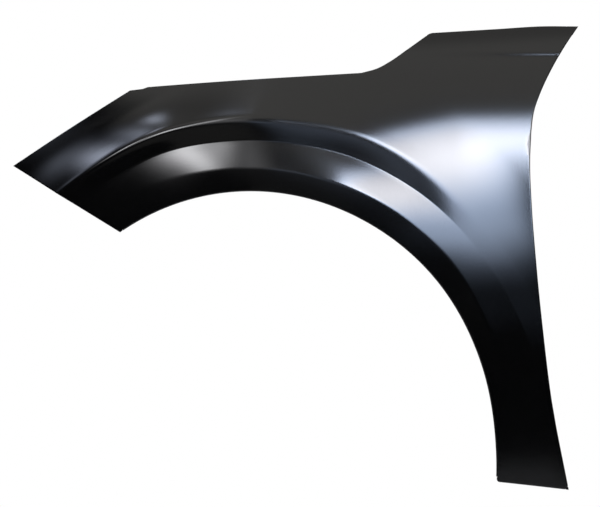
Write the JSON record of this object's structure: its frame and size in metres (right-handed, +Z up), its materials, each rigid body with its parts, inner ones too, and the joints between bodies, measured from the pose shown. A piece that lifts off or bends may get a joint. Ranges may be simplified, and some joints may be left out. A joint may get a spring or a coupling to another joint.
{
  "type": "car fender",
  "caption": "Left front fender panel of pressed sheet steel with a creased wheel flare, a folded wheel-arch lip, a hood rail and bolt flanges.",
  "frame": {"origin": "on the underside of the hood rail, midway between its front and middle bolt holes", "axes": "+X towards the rear of the car, -Y outboard, to the left of the car, +Z up"},
  "size_m": [0.974, 0.2782, 0.7836],
  "materials": {
    "black_primer": "semi-gloss black primer"
  },
  "bodies": {
    "root": {"fender_panel": "black_primer"}
  },
  "joints": []
}
